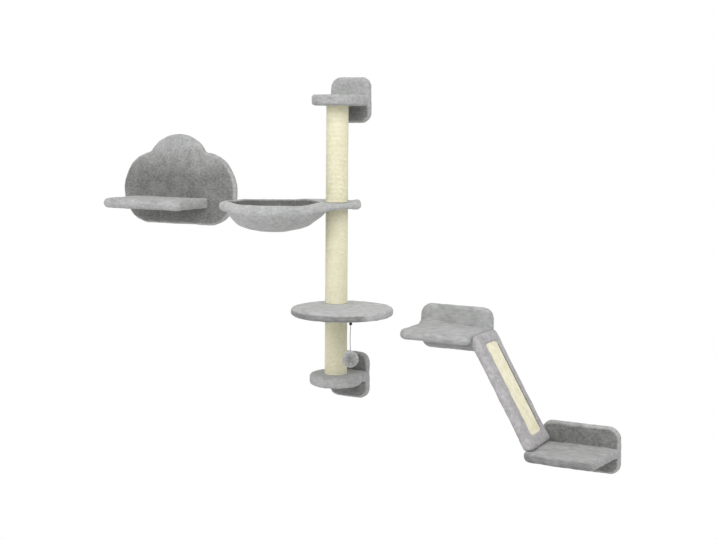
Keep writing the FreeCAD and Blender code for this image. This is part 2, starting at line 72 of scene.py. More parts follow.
camera.data.shift_y = (HORIZON_ROW - MIDDLE_ROW) / FRAME_W


# ---- Studio
# The set stands before plain white.  One big soft lamp shines from the upper right, a weak
# one from the left, and the white room fills in the shadows.
def tone(hex_code):
    """An sRGB hex colour as the linear values that the shaders work in."""
    parts = [int(hex_code[i:i + 2], 16) / 255 for i in (0, 2, 4)]
    return [c / 12.92 if c <= 0.04045 else ((c + 0.055) / 1.055) ** 2.4 for c in parts] + [1]


def add(tree, kind, inputs, **settings):
    """Adds one node.  An input is a value, or another node's output to link to."""
    made = tree.nodes.new(kind)
    for key, value in settings.items():
        setattr(made, key, value)
    for key, value in inputs.items():
        if isinstance(value, bpy.types.NodeSocket):
            tree.links.new(value, made.inputs[key])
        else:
            made.inputs[key].default_value = value
    return made


def seen_as_white(tree, shade):
    """White where the camera, or a mirror, sees it, and the given shader's light elsewhere."""
    path = add(tree, "ShaderNodeLightPath", {}).outputs
    seen = path["Is Camera Ray"]
    for ray in ("Is Glossy Ray", "Is Transmission Ray"):
        seen = add(tree, "ShaderNodeMath", {0: seen, 1: path[ray]}, operation="MAXIMUM").outputs[0]
    white = add(tree, "ShaderNodeEmission", {"Color": (1, 1, 1, 1)})
    return add(tree, "ShaderNodeMixShader", {0: seen, 1: shade, 2: white.outputs[0]}).outputs[0]


bpy.context.scene.view_settings.view_transform = "Standard"
room, paint = bpy.data.worlds.new("studio"), bpy.data.materials.new("white_studio_floor")
bpy.context.scene.world = room
glow = {"Color": (1, 1, 1, 1), "Strength": 0.78}
for owner, shade, colour, kind in ((room, "Background", glow, "World"),
                                   (paint, "BsdfDiffuse", {"Color": tone("e8e8e8")}, "Material")):
    owner.use_nodes = True
    tree = owner.node_tree
    tree.nodes.clear()
    lit = add(tree, "ShaderNode" + shade, colour).outputs[0]
    add(tree, "ShaderNodeOutput" + kind, {"Surface": seen_as_white(tree, lit)})

FLOOR_DROP, FLOOR_REACH, SET_MIDDLE = 1700, 30, Vector((0.1, 0, -0.6))
floor_mesh = bpy.data.meshes.new("floor")
floor_mesh.from_pydata([(x * FLOOR_REACH, y * FLOOR_REACH, -FLOOR_DROP * MM) for x, y in
                        ((-1, -1), (1, -1), (1, 1), (-1, 1))], [], [(0, 1, 2, 3)])
floor = bpy.data.objects.new("floor", floor_mesh)
bpy.context.scene.collection.objects.link(floor)
floor_mesh.materials.append(paint)


def lamp(name, place, size, watts):
    """A square soft box that points at the middle of the set."""
    light = bpy.data.lights.new(name, "AREA")
    light.shape, light.size, light.energy = "SQUARE", size, watts
    made = bpy.data.objects.new(name, light)
    made.location = place
    made.rotation_euler = (SET_MIDDLE - Vector(place)).to_track_quat("-Z", "Y").to_euler()
    bpy.context.scene.collection.objects.link(made)


lamp("key", (2.6, -3.4, 3.0), 3.4, 160)
lamp("fill", (-2.6, -3.6, 1.0), 2.6, 42)


# ---- Toy cord
# Thin braided elastic that hangs straight down from a bead under the platform's rim and
# bows a little to the left.  It ends inside the ball.
TOY_X, TOY_Y = 194.43, -363.88
CORD_TOP, CORD_LOW, CORD_R, CORD_BOW, BOW_DOWN = -850.6, -949.6, 1.25, 3.5, 51.5


def finish_piece(name, shape, body, slot, material, *nodes):
    """Puts a piece in the scene, on its body, with its finish and the solids it stands for."""
    made = bpy.data.objects.new(name, shape)
    bpy.context.scene.collection.objects.link(made)
    made.data.materials.append(material)
    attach(made, body)
    if nodes:
        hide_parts(*nodes)
    return made


def new_material(name, **settings):
    """A Principled material with these settings on its own sockets, still without colour."""
    made = bpy.data.materials.new(name)
    made.use_nodes = True
    shader = made.node_tree.nodes["Principled BSDF"]
    for key, value in settings.items():
        shader.inputs[key.replace("_", " ")].default_value = value
    return made, made.node_tree, shader


def mottle(tree, size_mm, detail=2.0, stretch=(1, 1, 1)):
    """Noise whose spots are about size_mm across, drawn out by stretch along X, Y and Z."""
    place = add(tree, "ShaderNodeTexCoord", {}).outputs["Object"]
    scale = [1 / (size_mm * MM * s) for s in stretch]
    grown = add(tree, "ShaderNodeMapping", {"Vector": place, "Scale": scale}).outputs[0]
    return add(tree, "ShaderNodeTexNoise", {"Vector": grown, "Scale": 1.0, "Detail": detail})


def colour_between(tree, shader, fac, dark, light, low=0.35, high=0.65):
    """Base colour that runs from dark to light as the pattern goes from low to high."""
    ramp = add(tree, "ShaderNodeMapRange", {"Value": fac, "From Min": low, "From Max": high})
    mix = add(tree, "ShaderNodeMix", {0: ramp.outputs[0], 6: tone(dark), 7: tone(light)},
              data_type="RGBA")
    tree.links.new(mix.outputs[2], shader.inputs["Base Color"])


def raised(tree, shader, height, depth_mm, strength=1.0):
    """Bump whose highest parts stand depth_mm over its lowest."""
    bump = add(tree, "ShaderNodeBump", {"Height": height, "Distance": depth_mm * MM,
                                        "Strength": strength})
    tree.links.new(bump.outputs[0], shader.inputs["Normal"])


# Braided polyester over rubber: matt, with a fine braid that shows as a faint mottle.
braid, tree, shader = new_material("braided_elastic", Roughness=0.8)
cells = mottle(tree, 1.0, stretch=(1, 1, 1.6))
colour_between(tree, shader, cells.outputs[0], "3c3c3c", "666766")
raised(tree, shader, cells.outputs[0], 0.3)

cord_line = bpy.data.curves.new("toy_cord", "CURVE")
cord_line.dimensions = "3D"
cord_line.bevel_depth = CORD_R * MM
cord_line.bevel_resolution = 3
cord_line.use_fill_caps = True
route = [(TOY_X, TOY_Y, CORD_TOP), (TOY_X - CORD_BOW, TOY_Y, CORD_TOP - BOW_DOWN),
         (TOY_X, TOY_Y, CORD_LOW)]
spline = cord_line.splines.new("NURBS")
spline.points.add(len(route) - 1)
for point, (x, y, z) in zip(spline.points, route):
    point.co = (x * MM, y * MM, z * MM, 1)
spline.order_u = 3
spline.use_endpoint_u = True
spline.resolution_u = 24
cord = finish_piece("cord", cord_line, "toy", "elastic_cord", braid, "toy_cord")


# ---- Ball
# A pompon of cut yarn tied round the cord's end: a small dense core, and hundreds of tufts
# that stand out of it and splay where they end.
BALL_R, CORE_R, CORD_IN_BALL, TUFTS, TUFT_SIDES, TUFT_R, TUFT_ROOT = 31, 21, 4, 3200, 4, 0.75, 2
dice = np.random.default_rng(7)
ball_mid = np.array([TOY_X, TOY_Y, CORD_LOW + CORD_IN_BALL - BALL_R])


def scattered(count):
    """Unit directions spread evenly over a sphere."""
    turn = np.arange(count) * math.pi * (3 - math.sqrt(5))
    z = 1 - (2 * np.arange(count) + 1) / count
    flat = np.sqrt(1 - z ** 2)
    return np.stack([flat * np.cos(turn), flat * np.sin(turn), z], 1)


def bands(start, rings, count):
    """The quads between rings of points, where each ring has count points."""
    return [(start + i + k, start + i + k + count, start + i + (k + 1) % count + count,
             start + i + (k + 1) % count) for i in range(0, (rings - 1) * count, count)
            for k in range(count)]


def tuft(out, root, length, width):
    """One tapered tuft: three rings and a tip, leaning a little to one side."""
    side = np.cross(out, dice.normal(size=3))
    side /= np.linalg.norm(side)
    other = np.cross(out, side)
    lean = (side * dice.normal() + other * dice.normal()) * 0.13
    verts = []
    for along, share in ((0, 0.7), (0.45, 1.0), (0.85, 0.8)):
        middle = out * (root + length * along) + lean * length * along ** 2
        for i in range(TUFT_SIDES):
            a = 2 * math.pi * i / TUFT_SIDES
            verts.append(middle + (side * math.cos(a) + other * math.sin(a)) * width * share)
    verts.append(out * (root + length) + lean * length)
    faces = [tuple(range(TUFT_SIDES))]
    faces += [(d, a, b, c) for a, b, c, d in bands(0, 3, TUFT_SIDES)]
    last = 2 * TUFT_SIDES
    for i in range(TUFT_SIDES):
        faces.append((last + (i + 1) % TUFT_SIDES, last + i, last + TUFT_SIDES))
    return verts, faces


def mesh_from(name, verts, faces):
    """A smooth-shaded mesh; verts are in millimetres."""
    mesh = bpy.data.meshes.new(name)
    mesh.from_pydata((np.asarray(verts) * MM).tolist(), [], faces)
    mesh.polygons.foreach_set("use_smooth", [True] * len(mesh.polygons))
    mesh.update()
    return mesh


# Acrylic yarn: soft and matt, darker down between the tufts than at their cut ends.
yarn, tree, shader = new_material("acrylic_yarn", Roughness=0.95, Sheen_Weight=0.35,
                                  Sheen_Roughness=0.5, Specular_IOR_Level=0.15)
fluff = mottle(tree, 6.0, detail=3)
colour_between(tree, shader, fluff.outputs[0], "adaead", "dcdddc")
raised(tree, shader, mottle(tree, 0.8).outputs[0], 0.4)

verts, faces = [], []
for out in scattered(TUFTS):
    reach = BALL_R * (0.97 + 0.05 * dice.random()) - CORE_R
    points, around = tuft(out, CORE_R - TUFT_ROOT, reach + TUFT_ROOT, TUFT_R)
    start = len(verts)
    verts += [p + ball_mid for p in points]
    faces += [tuple(i + start for i in face) for face in around]
RINGS, SPOKES = 16, 24
start = len(verts)
for i in range(1, RINGS):
    for k in range(SPOKES):
        a, b = math.pi * i / RINGS, 2 * math.pi * k / SPOKES
        out = np.array([math.sin(a) * math.cos(b), math.sin(a) * math.sin(b), math.cos(a)])
        verts.append(ball_mid + out * CORE_R)
verts += [ball_mid + (0, 0, CORE_R), ball_mid - (0, 0, CORE_R)]
faces += bands(start, RINGS - 1, SPOKES)
for k in range(SPOKES):
    faces.append((start + k, start + (k + 1) % SPOKES, len(verts) - 2))
    low = start + (RINGS - 2) * SPOKES
    faces.append((low + (k + 1) % SPOKES, low + k, len(verts) - 1))
ball = finish_piece("pompon", mesh_from("pompon", verts, faces), "toy", "pompon", yarn, "toy_ball")

# Polystyrene bead: moulded, black and glossy.
bead_black, tree, shader = new_material("glossy_bead", Roughness=0.3, Specular_IOR_Level=0.3)
colour_between(tree, shader, mottle(tree, 2.0).outputs[0], "0b0b0c", "19191b")
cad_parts["toy_bead"].data.materials.clear()
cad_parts["toy_bead"].data.materials.append(bead_black)


# ---- Sisal post
# Each section is a cardboard tube wound with 5 mm sisal rope, turn against turn.  The rope
# is laid from three strands, which show as slanting ridges along it.
POST_Y, POST_R, ROPE_R = -125, 45, 2.5
HAMMOCK_TOP, HAMMOCK_LOW, PLATFORM_TOP, PLATFORM_LOW = -402.5, -437.5, -809.0, -838.0
STEPS_PER_TURN, ROPE_SIDES, STRANDS, LAY_LENGTH, INTO_SLEEVE = 60, 9, 3, 17.0, 6.3


def mark(mesh, name, values):
    """Notes a value at each point of a mesh, for its material to read."""
    noted = mesh.attributes.new(name, "FLOAT", "POINT")
    noted.data.foreach_set("value", np.array(values, np.float32))


def wind(name, node, into=(0, 0)):
    """Winds one section; its first and last turn lie level, as they are glued and nailed.
    into is how far its lower and its upper end press into the sleeve there."""
    low, high = [corner.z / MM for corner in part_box(node)]
    low, high = low - into[0], high + into[1]
    turns = (high - low) / (2 * ROPE_R)
    steps = int((turns + 1) * STEPS_PER_TURN)
    i = np.arange(steps + 1)
    angle = i * 2 * math.pi / STEPS_PER_TURN + len(name)
    rise = (i / STEPS_PER_TURN - 1) * 2 * ROPE_R
    height = np.clip(low + ROPE_R + rise, low + ROPE_R, high - ROPE_R)
    along = angle * (POST_R - ROPE_R)
    waver = np.array([noise.noise((a / 90, low, 0.5)) for a in along])
    verts = np.zeros((steps + 1, ROPE_SIDES, 3))
    laid = np.zeros((steps + 1, ROPE_SIDES))
    for k in range(ROPE_SIDES):
        round_rope = 2 * math.pi * k / ROPE_SIDES
        strand = np.cos(STRANDS * (round_rope - along * 2 * math.pi / LAY_LENGTH))
        thick = ROPE_R * (1.0 + 0.07 * strand + 0.06 * waver)
        out = POST_R - ROPE_R + thick * math.cos(round_rope)
        verts[:, k, 0] = out * np.cos(angle)
        verts[:, k, 1] = POST_Y + out * np.sin(angle)
        verts[:, k, 2] = np.clip(height + thick * math.sin(round_rope), low, high)
        laid[:, k] = strand
    faces = [tuple(range(ROPE_SIDES)),
             tuple(steps * ROPE_SIDES + k for k in reversed(range(ROPE_SIDES)))]
    faces += bands(0, steps + 1, ROPE_SIDES)
    mesh = mesh_from(name, verts.reshape(-1, 3), faces)
    mark(mesh, "strand", laid.ravel())
    finish_piece(name, mesh, "wall_set", "sisal", sisal, node)


# Sisal: dry, matt leaf fibre, cream with paler and browner fibres; hairy, so it has no shine.
sisal, tree, shader = new_material("laid_sisal_rope", Roughness=0.92, Sheen_Weight=0.15,
                                   Specular_IOR_Level=0.2)
fibre = mottle(tree, 7.0, detail=4, stretch=(2.2, 2.2, 0.35)).outputs[0]
strands = add(tree, "ShaderNodeAttribute", {}, attribute_name="strand").outputs["Fac"]
every = fibre
for part, share in ((strands, 0.05), (mottle(tree, 70.0).outputs[0], 0.25)):
    every = add(tree, "ShaderNodeMath", {0: part, 1: share, 2: every},
                operation="MULTIPLY_ADD").outputs[0]
colour_between(tree, shader, every, "dcd8b8", "f0ecd6", 0.4, 0.85)
raised(tree, shader, mottle(tree, 1.4, detail=4, stretch=(2.5, 2.5, 0.5)).outputs[0], 0.5)

for section, into in (("upper", (INTO_SLEEVE, 0)), ("middle", (0, INTO_SLEEVE)),
                      ("lower", (0, 0))):
    wind(section + "_rope", section + "_sisal_wrap", into)


# ---- Plush
# Every board is covered in thin foam and short-pile plush.  The pile lies in streaks, and
# the cloth puckers a little where it is pulled round an edge.
LINE_STEP, STREAK_RANGE = 5.0, (0.44, 0.76)


def outline(pieces):
    """Closed outline from ("arc", centre, radius, start, end) and ("line", start, end)."""
    points = []
    for kind, *rest in pieces:
        if kind == "line":
            start, end = np.array(rest[0], float), np.array(rest[1], float)
            count = max(1, int(math.dist(start, end) / LINE_STEP))
            points += [start + (end - start) * i / count for i in range(count)]
        else:
            (x, y), radius, start, end = rest
            count = max(3, int(abs(math.radians(end - start)) * radius / LINE_STEP))
            for i in range(count):
                a = math.radians(start + (end - start) * i / count)
                points.append(np.array([x + radius * math.cos(a), y + radius * math.sin(a)]))
    return np.array(points)


def rounded_polygon(points, radii):
    """Closed outline of a convex polygon, each corner with its own rounding."""
    points = [np.array(point, float) for point in points]
    arcs, pieces, count = [], [], len(points)
    for i, point in enumerate(points):
        back = points[i - 1] - point
        ahead = points[(i + 1) % count] - point
        back, ahead = back / np.linalg.norm(back), ahead / np.linalg.norm(ahead)
        half = math.acos(np.clip(back @ ahead, -1, 1)) / 2
        bisector = (back + ahead) / np.linalg.norm(back + ahead)
        middle = point + bisector * radii[i] / math.sin(half)
        first, last = [point + way * radii[i] / math.tan(half) for way in (back, ahead)]
        start, end = [math.degrees(math.atan2(*(p - middle)[::-1])) for p in (first, last)]
        end = start + math.remainder(end - start, 360)
        arcs.append((("arc", middle, radii[i], start, end), first, last))
    for i in range(count):
        pieces += [arcs[i][0], ("line", arcs[i][2], arcs[(i + 1) % count][1])]
    return outline(pieces)


def outward(points):
    """The unit vectors that point out of a closed outline, at each of its points."""
    along = np.roll(points, -1, 0) - np.roll(points, 1, 0)
    along /= np.linalg.norm(along, axis=1)[:, None]
    return np.stack([along[:, 1], -along[:, 0]], 1)


def cap(ring, spacing):
    """Fills a ring of 2-D points: the grid points inside it, and all the triangles."""
    low, high = ring.min(0), ring.max(0)
    rows = np.arange(low[1], high[1], spacing * 0.87)
    grid = []
    for i, y in enumerate(rows):
        xs = np.arange(low[0] + (i % 2) * spacing / 2, high[0], spacing)
        grid += [(x, y) for x in xs]
    grid = np.array(grid)
    far = np.sqrt(((grid[:, None] - ring[None]) ** 2).sum(2).min(1))
    crossings = np.zeros(len(grid), int)
    for (x0, y0), (x1, y1) in zip(ring, np.roll(ring, -1, 0)):
        if y0 == y1:
            continue
        spans = (grid[:, 1] < max(y0, y1)) & (grid[:, 1] >= min(y0, y1))
        crossings += spans & (grid[:, 0] < x0 + (grid[:, 1] - y0) * (x1 - x0) / (y1 - y0))
    inside = (crossings % 2 == 1) & (far > spacing * 0.55)
    grid, far = grid[inside], far[inside]
    every = [Vector(p) for p in (*ring, *grid)]
    _, _, faces, origins, _, _ = delaunay_2d_cdt(every, [], [list(range(len(ring)))], 1, 1e-6)
    back = [o[0] for o in origins]
    return grid, far, [tuple(back[i] for i in face) for face in faces]


def slab(points, low, high, edge, back_edge, crown=(0, 0), pocket=None, spacing=6.0, levels=()):
    """Soft slab over an outline: rounded rims, crowned faces.  Returns 2-D, height, faces.

    edge and back_edge are the rims' radii, at high and at low, for each outline point.
    pocket is (inset, depth): the low side is open and the slab wraps a board in there."""
    normal, count = outward(points), len(points)
    edge, back_edge = np.broadcast_to(edge, count), np.broadcast_to(back_edge, count)
    rings = []
    if pocket:
        rings += [(np.full(count, pocket[0]), np.full(count, low + pocket[1])),
                  (np.full(count, pocket[0]), np.full(count, low + 1.0))]
    for a in np.radians(np.linspace(90, 0, 6)):
        rings.append((back_edge * (1 - np.cos(a)), low + back_edge * (1 - np.sin(a))))
    between = levels or np.linspace(0, 1, max(2, int((high - low) / LINE_STEP)))[1:-1]
    side_low, side_high = low + back_edge, high - edge
    for share in between:
        rings.append((np.zeros(count), side_low + (side_high - side_low) * share))
    for a in np.radians(np.linspace(0, 90, 8)):
        rings.append((edge * (1 - np.cos(a)), high - edge * (1 - np.sin(a))))
    plan = np.concatenate([points - normal * inset[:, None] for inset, _ in rings])
    height = np.concatenate([h for _, h in rings])
    faces = [(a, d, c, b) for a, b, c, d in bands(0, len(rings), count)]
    for ring, flip, rise, gap in ((0, True, -crown[0], spacing * (2 if pocket else 1)),
                                  (len(rings) - 1, False, crown[1], spacing)):
        first = ring * count
        grid, far, fill = cap(plan[first:first + count], gap)
        start, flat = len(plan), height[first]
        plan = np.concatenate([plan, grid])
        height = np.concatenate([height, flat + rise * (1 - np.exp(-far / 22))])
        place = list(range(first, first + count)) + list(range(start, start + len(grid)))
        faces += [tuple(place[i] for i in (face[::-1] if flip else face)) for face in fill]
    return plan, height, faces


def ruffle(mesh, soft, pressed=()):
    """Small lumps and streaks in the pile, none where a post stands on the cloth.

    soft is a list of (height, size of the lumps in X, Y and Z), pressed a list of
    (x, y, radius) round which the cloth lies flat."""
    count = len(mesh.vertices)
    co, normal = np.zeros(count * 3), np.zeros(count * 3)
    mesh.vertices.foreach_get("co", co)
    mesh.vertices.foreach_get("normal", normal)
    co, normal = co.reshape(-1, 3) / MM, normal.reshape(-1, 3)
    lift = np.zeros(count)
    for height, size in soft:
        cells = co / np.array(size)
        lift += height * np.array([noise.noise(c) for c in cells.tolist()])
    for x, y, radius in pressed:
        away = np.hypot(co[:, 0] - x, co[:, 1] - y)
        lift *= np.clip((away - radius) / 20, 0, 1) ** 2
    co += normal * lift[:, None]
    mesh.vertices.foreach_set("co", (co * MM).ravel())
    mesh.update()


def plush(name, dark, light, streak, face=None, down_to=None, where=None):
    """Short-pile polyester plush.  The pile scatters light and has a soft sheen at its edge,
    and streaks show where it was brushed.  Pile about 3 mm long is drawn 3 mm coarse.

    face is a darker pair of tones, painted shade on what lies flat on the wall and faces out,
    so that the rounded edges stay lighter as if they caught the light; down_to is (top, low),
    heights between which that painted shade sets in.  where names an attribute of the mesh
    that says where the painted shade shows instead."""
    made, tree, shader = new_material(name, Roughness=0.93, Sheen_Weight=0.25,
                                      Sheen_Roughness=0.4, Specular_IOR_Level=0.1)
    total = 0
    for size, detail, stretch, share in ((45, 2, (1, 1, 1), 0.3), (9, 3, streak, 0.6),
                                         (3, 2, (1, 1, 1), 0.3)):
        spots = mottle(tree, size, detail, stretch).outputs[0]
        total = add(tree, "ShaderNodeMath", {0: spots, 1: share, 2: total},
                    operation="MULTIPLY_ADD").outputs[0]
    colour_between(tree, shader, total, dark, light, *STREAK_RANGE)
    raised(tree, shader, total, 2.6, 0.8)
    # Painted shade: the face tones darken the parts that the mask below picks out.
    if face:
        lit = shader.inputs["Base Color"].links[0].from_socket
        colour_between(tree, shader, total, *face, *STREAK_RANGE)
        flat = shader.inputs["Base Color"].links[0].from_socket
        if where:
            shown = add(tree, "ShaderNodeAttribute", {}, attribute_name=where).outputs["Fac"]
        else:
            normal = add(tree, "ShaderNodeNewGeometry", {}).outputs["True Normal"]
            toward = add(tree, "ShaderNodeVectorMath", {0: normal, 1: (0, -1, 0)},
                         operation="DOT_PRODUCT").outputs["Value"]
            shown = add(tree, "ShaderNodeMapRange", {"Value": toward, "From Min": 0.8,
                                                     "From Max": 0.99}).outputs[0]
        if down_to:
            place = add(tree, "ShaderNodeTexCoord", {}).outputs["Object"]
            z = add(tree, "ShaderNodeSeparateXYZ", {0: place}).outputs[2]
            wander = 60 * MM
            bent = add(tree, "ShaderNodeMath", {0: mottle(tree, 90).outputs[0], 1: wander, 2: z},
                       operation="MULTIPLY_ADD").outputs[0]
            under = add(tree, "ShaderNodeMapRange",
                        {"Value": bent, "From Min": down_to[0] * MM + wander / 2,
                         "From Max": down_to[1] * MM + wander / 2}).outputs[0]
            shown = add(tree, "ShaderNodeMath", {0: shown, 1: under},
                        operation="MULTIPLY").outputs[0]
        mix = add(tree, "ShaderNodeMix", {0: shown, 6: lit, 7: flat}, data_type="RGBA")
        tree.links.new(mix.outputs[2], shader.inputs["Base Color"])
    return made


def plush_piece(name, shape, place, body, material, soft, node, pressed=()):
    """place(u, v, w) puts the slab's outline and height in the frame."""
    plan, height, faces = shape
    verts = place(plan[:, 0], plan[:, 1], height)
    mesh = mesh_from(name, verts, faces)
    ruffle(mesh, soft, pressed)
    made = finish_piece(name, mesh, body, "grey_plush", material, node)
    return made


def mark_rim_shade(piece, top_z, up_to):
    """Notes how far each point lies down the rim, for painted shade on its side, which fades out as
    x nears up_to.
    """
    down_rim = [min((top_z - RIM_FROM - v.co.z / MM) / RIM_FADE, (up_to - v.co.x / MM) / END_FADE)
                for v in piece.data.vertices]
    mark(piece.data, "rim", np.clip(down_rim, 0, 1))


def on_wall(u, v, w):
    return np.stack([u, -w, v], 1)


def in_plan(u, v, w):
    return np.stack([u, v, w], 1)


def flared(rect, low, high, out):
    """Swells the left edge of a wall plate between two heights, where a shelf pulls the pile."""
    u, v = rect[:, 0], rect[:, 1]
    left = np.clip((np.median(u) - u) / (np.median(u) - u.min()), 0, 1) ** 3
    rect = rect.copy()
    rect[:, 0] -= out * left * np.interp(v, (low - 40, low, high), (0, 1, 0))
    return rect


def rounded_rect(left, bottom, wide, tall, r):
    return rounded_polygon([(left, bottom), (left + wide, bottom), (left + wide, bottom + tall),
                            (left, bottom + tall)], [r] * 4)


PLUSH_LUMPS = [(1.4, (34, 30, 26)), (0.8, (13, 13, 9))]
WALL_T, WALL_ROUND, WALL_BACK_ROUND, BOARD_T, BOARD_INSET, PLATE_SWELL = 25, 14, 4.0, 18, 5, 5
WALL_POCKET, RIM_FROM, RIM_FADE, END_FADE = (BOARD_INSET, BOARD_T), 2, 7, 25
# The second pair of tones on each of these two lines is darker, for painted shade.
GREY, FACE_SHADE_GREY = ("8f908f", "b2b3b2"), ("646563", "8a8b89")
PALE_GREY, RIM_SHADE_GREY = ("979897", "bdbebd"), ("6f706f", "919291")
mottled, brushed = (1.4, 1.4, 1.0), (3.2, 1.4, 0.8)
lit_plush = plush("short_pile_plush", *GREY, mottled)
face_shaded_plush = plush("short_pile_plush_with_painted_face_shade", *GREY, mottled, FACE_SHADE_GREY)
brushed_plush = plush("short_pile_plush_brushed_along", *GREY, brushed)


# ---- End discs
# The post's ends stand in D-shaped discs, which butt against small square wall plates.
# Plate and disc are covered apart, so a crease runs round the joint.
PLATE_W, PLATE_H, PLATE_CORNER, SUNK, BACK_CORNER, PILE = 178, 185, 42, 4, 7, 1.5
TOP_DISC_Z, BOTTOM_Z, TOP_SHADE = -2.5, -1110.7, (-12, -34)
END_R, END_NECK_W, END_NECK_ROUND, END_T, END_ROUND = 103, 170, 30, 40, 12


def end_outline():
    half, r = END_NECK_W / 2, END_NECK_ROUND
    back, corner = -WALL_T + SUNK, BACK_CORNER
    meet = math.degrees(math.asin((half + r) / (END_R + r)))
    blend_y = POST_Y + (END_R + r) * math.cos(math.radians(meet))
    return outline([
        ("arc", (0, POST_Y), END_R, 90 + meet, 450 - meet),
        ("arc", (half + r, blend_y), r, 270 - meet, 180),
        ("line", (half, blend_y), (half, back - corner)),
        ("arc", (half - corner, back - corner), corner, 0, 90),
        ("line", (half - corner, back), (corner - half, back)),
        ("arc", (corner - half, back - corner), corner, 90, 180),
        ("line", (-half, back - corner), (-half, blend_y)),
        ("arc", (-half - r, blend_y), r, 0, -90 + meet)])


# The top plate's face has painted shade below the disc, where the disc's shadow falls; the bottom
# plate's face has painted shade all over.
top_plush = plush("short_pile_plush_with_painted_shade_below", *GREY, mottled, FACE_SHADE_GREY, TOP_SHADE)
for end, plate_z, disc_z in (("top", 0, TOP_DISC_Z), ("bottom", BOTTOM_Z, BOTTOM_Z)):
    square = rounded_rect(-PLATE_W / 2, plate_z - PLATE_H / 2, PLATE_W, PLATE_H, PLATE_CORNER)
    if end == "top":
        square = flared(square, disc_z, PLATE_H / 2 - 10, PLATE_SWELL)
    plate = slab(square, 0, WALL_T, WALL_ROUND, WALL_BACK_ROUND, (0, 2), WALL_POCKET)
    plush_piece(end + "_plate_plush", plate, on_wall, "wall_set",
                top_plush if end == "top" else face_shaded_plush, PLUSH_LUMPS, end + "_wall_cover")
    rim = end_outline()
    soft_edge = np.interp(rim[:, 1], (-30, -24), (END_ROUND, BACK_CORNER - 1))
    disc = slab(rim, disc_z - END_T / 2 - PILE, disc_z + END_T / 2 + PILE, soft_edge, soft_edge)
    plush_piece(end + "_disc_plush", disc, in_plan, "wall_set", lit_plush, PLUSH_LUMPS,
                end + "_end_cover", [(0, POST_Y, POST_R)])


# ---- Platform
# A round board, off centre on the post so that it can be turned, in the same plush.
PLATFORM_R, PLATFORM_REACH, PLATFORM_TURN, PLATFORM_ROUND = 198, 132, math.radians(-51), (9, 12)
BEAD_SEAT_R, PLATFORM_RIM_SHADE_TO = 8, 172
platform_x = PLATFORM_REACH * math.cos(PLATFORM_TURN)
platform_y = POST_Y + PLATFORM_REACH * math.sin(PLATFORM_TURN)
rim = outline([("arc", (platform_x, platform_y), PLATFORM_R, 0, 360)])
round_slab = slab(rim, PLATFORM_LOW, PLATFORM_TOP, *PLATFORM_ROUND)
# Painted shade darkens the platform's side below its top edge, and fades out towards its end on the
# right.
platform_plush = plush("short_pile_plush_pale_with_painted_rim_shade", *PALE_GREY, brushed, RIM_SHADE_GREY,
                       where="rim")
platform = plush_piece("platform_plush", round_slab, in_plan, "platform", platform_plush,
                       PLUSH_LUMPS, "platform_cover",
                       [(0, POST_Y, POST_R), (TOY_X, TOY_Y, BEAD_SEAT_R)])
mark_rim_shade(platform, PLATFORM_TOP, platform_x + PLATFORM_RIM_SHADE_TO)


# ---- Hammock
# A keyhole-shaped board ring in a plush sleeve; the bag is sewn to its underside and hangs
# from it.  The cloth runs on over the rim, whose top edge waves, and puckers by the post.
HAMMOCK_R, HAMMOCK_OPENING_R, HAMMOCK_PAD_R, HAMMOCK_REACH = 215, 178, 97, 256
HAMMOCK_TURN, HAMMOCK_SPOKES = math.radians(-136.2), 420
HAMMOCK_MIDDLE = (HAMMOCK_TOP + HAMMOCK_LOW) / 2
hammock_x = HAMMOCK_REACH * math.cos(HAMMOCK_TURN)
hammock_y = POST_Y + HAMMOCK_REACH * math.sin(HAMMOCK_TURN)


def keyhole_reach(angle):
    """How far the ring's outline lies from its middle, in a direction from the post's."""
    lean = math.acos((HAMMOCK_R - HAMMOCK_PAD_R) / HAMMOCK_REACH)
    angle = abs(math.remainder(angle, 2 * math.pi))
    pad_x = HAMMOCK_REACH + HAMMOCK_PAD_R * math.cos(lean)
    touch = math.atan2(HAMMOCK_PAD_R * math.sin(lean), pad_x)
    if angle > lean:
        return HAMMOCK_R
    if angle > touch:
        return HAMMOCK_R / math.cos(angle - lean)
    across = HAMMOCK_REACH * math.sin(angle)
    return HAMMOCK_REACH * math.cos(angle) + math.sqrt(HAMMOCK_PAD_R ** 2 - across ** 2)


def even(points, count, rounds=400):
    """A smooth curve through (radius, height) points, as count evenly spaced points."""
    points = np.array(points, float)
    length = np.concatenate([[0], np.cumsum(np.hypot(*np.diff(points, axis=0).T))])
    dense = np.linspace(0, length[-1], 400)
    path = np.stack([np.interp(dense, length, points[:, i]) for i in (0, 1)], 1)
    for _ in range(rounds):
        path[1:-1] = (path[:-2] + 2 * path[1:-1] + path[2:]) / 4
    at = np.linspace(0, 399, count)
    return np.stack([np.interp(at, np.arange(400), path[:, i]) for i in (0, 1)], 1)


def step_up(value, low, high):
    share = min(max((value - low) / (high - low), 0), 1)
    return share * share * (3 - 2 * share)


BAG_DEPTH, BAG_DEPTH_INSIDE = 83, 76
BAG_LOW = [(142, -58), (100, -73), (54, -81), (0, -BAG_DEPTH)]
NOSE, NOSE_POINTS, UNDER_POINTS, BAG_POINTS, INSIDE_POINTS = 17.5, 16, 12, 44, 34
PINCHED, PRESSED, PAD_SWELL = 0.42, 0.4, 7.5
FRONT, SIDE = np.array([0.47, -0.88]), np.array([0.88, 0.47])


